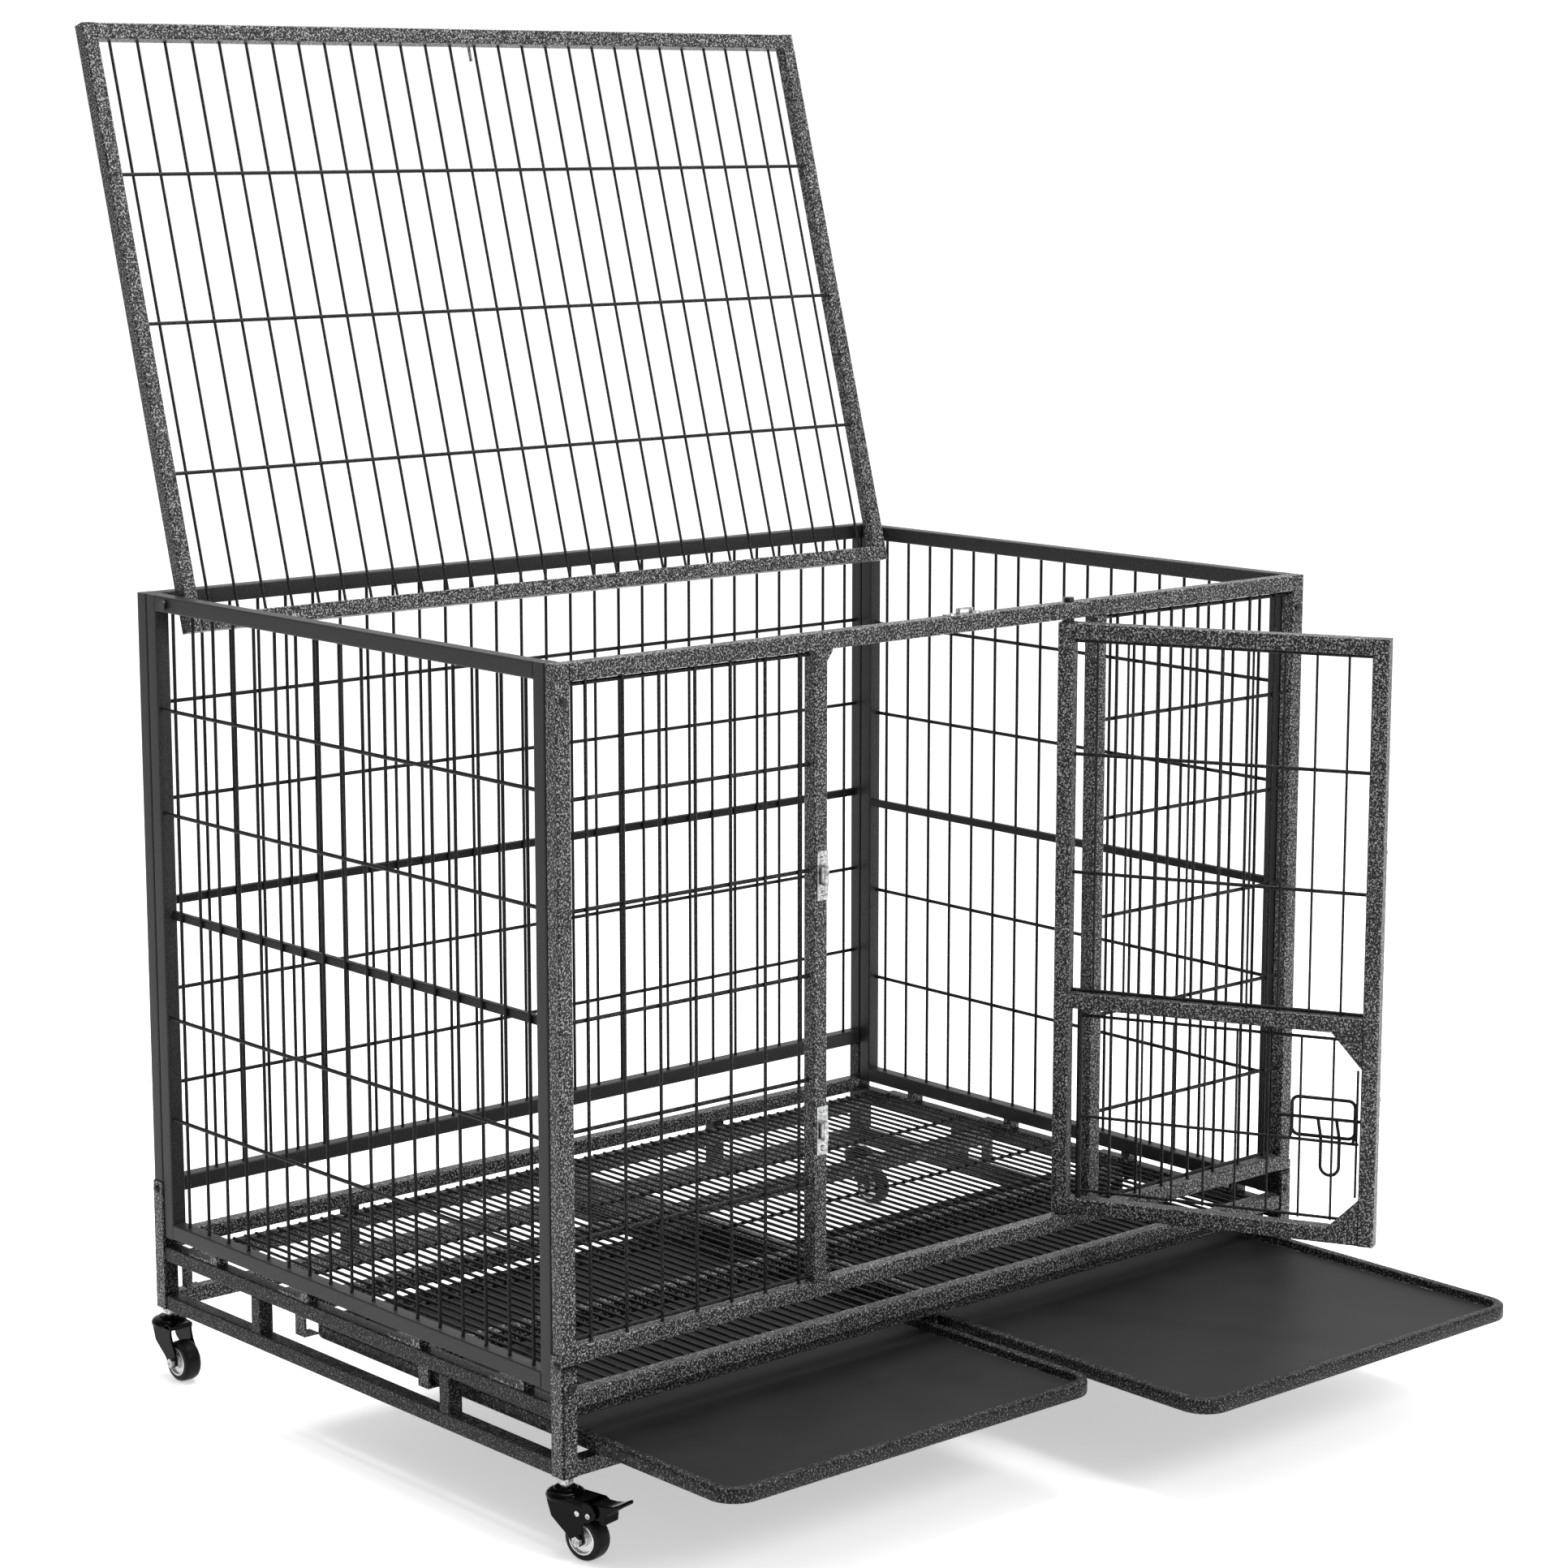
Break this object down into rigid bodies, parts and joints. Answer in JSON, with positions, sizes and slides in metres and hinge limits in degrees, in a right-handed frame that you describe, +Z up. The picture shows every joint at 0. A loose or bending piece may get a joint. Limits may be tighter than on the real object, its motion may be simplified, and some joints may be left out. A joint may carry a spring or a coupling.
{
  "type": "wire dog crate",
  "caption": "Wheeled wire dog crate with a hinged lid and door, a small feeder door, slide-out trays and swivel casters.",
  "frame": {"origin": "on the floor under the centre of the bounding box as stored, with lid and door open and both trays pulled out", "axes": "+Z up; -Y out of the door side; +X to the right when facing the door"},
  "size_m": [1.2014, 1.3348, 1.634],
  "materials": {
    "hammertone_steel": "hammertone powder coat, satin",
    "tray_steel": "smooth powder coat, satin",
    "fastener_black": "black coated",
    "zinc": "zinc plated, satin",
    "caster_black": "gloss black",
    "pedal_black": "gloss black",
    "tyre_black": "smooth gloss rubber",
    "hub_grey": "smooth"
  },
  "bodies": {
    "frame": {"base_legs": "hammertone_steel", "base_side_rails_upper": "hammertone_steel", "base_side_rails_lower": "hammertone_steel", "base_end_rails_upper": "hammertone_steel", "base_end_rails_lower": "hammertone_steel", "base_posts": "hammertone_steel", "grate_supports": "hammertone_steel", "grate_divider": "hammertone_steel", "tray_hangers": "hammertone_steel", "corner_plates": "hammertone_steel", "frame_bolts": "fastener_black", "side_rest_tabs": "hammertone_steel", "panel_left": "hammertone_steel", "panel_right": "hammertone_steel", "panel_back": "hammertone_steel", "front_rails": "hammertone_steel", "front_posts": "hammertone_steel", "front_mesh_left": "hammertone_steel", "front_mesh_right": "hammertone_steel", "front_gussets": "hammertone_steel", "floor_grate": "hammertone_steel", "bolt_keepers": "zinc", "keeper_screws": "zinc", "caster_stems": "zinc"},
    "lid": {"lid_panel": "hammertone_steel", "lid_pins": "fastener_black", "lid_bolt_guide": "zinc"},
    "lid_slide_bolt": {"lid_bolt": "zinc"},
    "door": {"door_stiles": "hammertone_steel", "door_rails": "hammertone_steel", "door_mesh": "hammertone_steel", "door_gussets": "hammertone_steel", "door_pins": "fastener_black", "door_bolt_guides": "zinc"},
    "door_slide_bolt_upper": {"door_bolt_upper": "zinc"},
    "door_slide_bolt_lower": {"door_bolt_lower": "zinc"},
    "feeder_door": {"feeder_grid": "hammertone_steel", "feeder_latch_loop": "hammertone_steel"},
    "feeder_slide_latch": {"feeder_latch": "hammertone_steel"},
    "left_tray": {"tray_left": "tray_steel"},
    "right_tray": {"tray_right": "tray_steel"},
    "caster_fl": {"fork_fl": "caster_black", "axle_fl": "zinc"},
    "wheel_fl": {"tyre_fl": "tyre_black", "hub_fl": "hub_grey"},
    "brake_fl": {"pedal_fl": "pedal_black"},
    "caster_fr": {"fork_fr": "caster_black", "axle_fr": "zinc"},
    "wheel_fr": {"tyre_fr": "tyre_black", "hub_fr": "hub_grey"},
    "brake_fr": {"pedal_fr": "pedal_black"},
    "caster_bl": {"fork_bl": "caster_black", "axle_bl": "zinc"},
    "wheel_bl": {"tyre_bl": "tyre_black", "hub_bl": "hub_grey"},
    "caster_br": {"fork_br": "caster_black", "axle_br": "zinc"},
    "wheel_br": {"tyre_br": "tyre_black", "hub_br": "hub_grey"}
  },
  "joints": [
    {"name": "lid_hinge", "type": "hinge", "parent": "frame", "child": "lid", "pos_m": [-0.0032, 0.45656, 0.9585], "axis": [1, 0, 0], "range_deg": [0, 105.7]},
    {"name": "lid_bolt_slide", "type": "slide", "parent": "lid", "child": "lid_slide_bolt", "axis": [0, 0.2706, 0.9627], "range_m": [0, 0.028]},
    {"name": "door_hinge", "type": "hinge", "parent": "frame", "child": "door", "pos_m": [0.1768, -0.27794, 0.5], "axis": [0, 0, 1], "range_deg": [-115.9, 4]},
    {"name": "door_bolt_upper_slide", "type": "slide", "parent": "door", "child": "door_slide_bolt_upper", "axis": [0.4384, -0.8988, 0], "range_m": [0, 0.012]},
    {"name": "door_bolt_lower_slide", "type": "slide", "parent": "door", "child": "door_slide_bolt_lower", "axis": [0.4384, -0.8988, 0], "range_m": [0, 0.012]},
    {"name": "feeder_hinge", "type": "hinge", "parent": "door", "child": "feeder_door", "pos_m": [0.18623, -0.29726, 0.3], "axis": [0, 0, 1], "range_deg": [0, 56]},
    {"name": "feeder_latch_slide", "type": "slide", "parent": "feeder_door", "child": "feeder_slide_latch", "axis": [0.4384, -0.8988, 0], "range_m": [0, 0.012]},
    {"name": "left_tray_slide", "type": "slide", "parent": "frame", "child": "left_tray", "axis": [0, -1, 0], "range_m": [-0.244, 0.256]},
    {"name": "right_tray_slide", "type": "slide", "parent": "frame", "child": "right_tray", "axis": [0, -1, 0], "range_m": [-0.383, 0.117]},
    {"name": "swivel_fl", "type": "hinge", "parent": "frame", "child": "caster_fl", "pos_m": [-0.5787, -0.27794, 0.07], "axis": [0, 0, 1], "continuous": true},
    {"name": "wheel_spin_fl", "type": "hinge", "parent": "caster_fl", "child": "wheel_fl", "pos_m": [-0.57272, -0.30734, 0.025], "axis": [0.9799, 0.1994, 0], "continuous": true},
    {"name": "brake_pedal_fl", "type": "hinge", "parent": "caster_fl", "child": "brake_fl", "pos_m": [-0.56983, -0.32154, 0.056], "axis": [0.9799, 0.1994, 0], "range_deg": [-6, 8]},
    {"name": "swivel_fr", "type": "hinge", "parent": "frame", "child": "caster_fr", "pos_m": [0.5723, -0.27794, 0.07], "axis": [0, 0, 1], "continuous": true},
    {"name": "wheel_spin_fr", "type": "hinge", "parent": "caster_fr", "child": "wheel_fr", "pos_m": [0.57828, -0.30734, 0.025], "axis": [0.9799, 0.1994, 0], "continuous": true},
    {"name": "brake_pedal_fr", "type": "hinge", "parent": "caster_fr", "child": "brake_fr", "pos_m": [0.58117, -0.32154, 0.056], "axis": [0.9799, 0.1994, 0], "range_deg": [-6, 8]},
    {"name": "swivel_bl", "type": "hinge", "parent": "frame", "child": "caster_bl", "pos_m": [-0.5787, 0.50706, 0.07], "axis": [0, 0, 1], "continuous": true},
    {"name": "wheel_spin_bl", "type": "hinge", "parent": "caster_bl", "child": "wheel_bl", "pos_m": [-0.5787, 0.47706, 0.025], "axis": [1, 0, 0], "continuous": true},
    {"name": "swivel_br", "type": "hinge", "parent": "frame", "child": "caster_br", "pos_m": [0.5723, 0.50706, 0.07], "axis": [0, 0, 1], "continuous": true},
    {"name": "wheel_spin_br", "type": "hinge", "parent": "caster_br", "child": "wheel_br", "pos_m": [0.5723, 0.47706, 0.025], "axis": [1, 0, 0], "continuous": true}
  ]
}
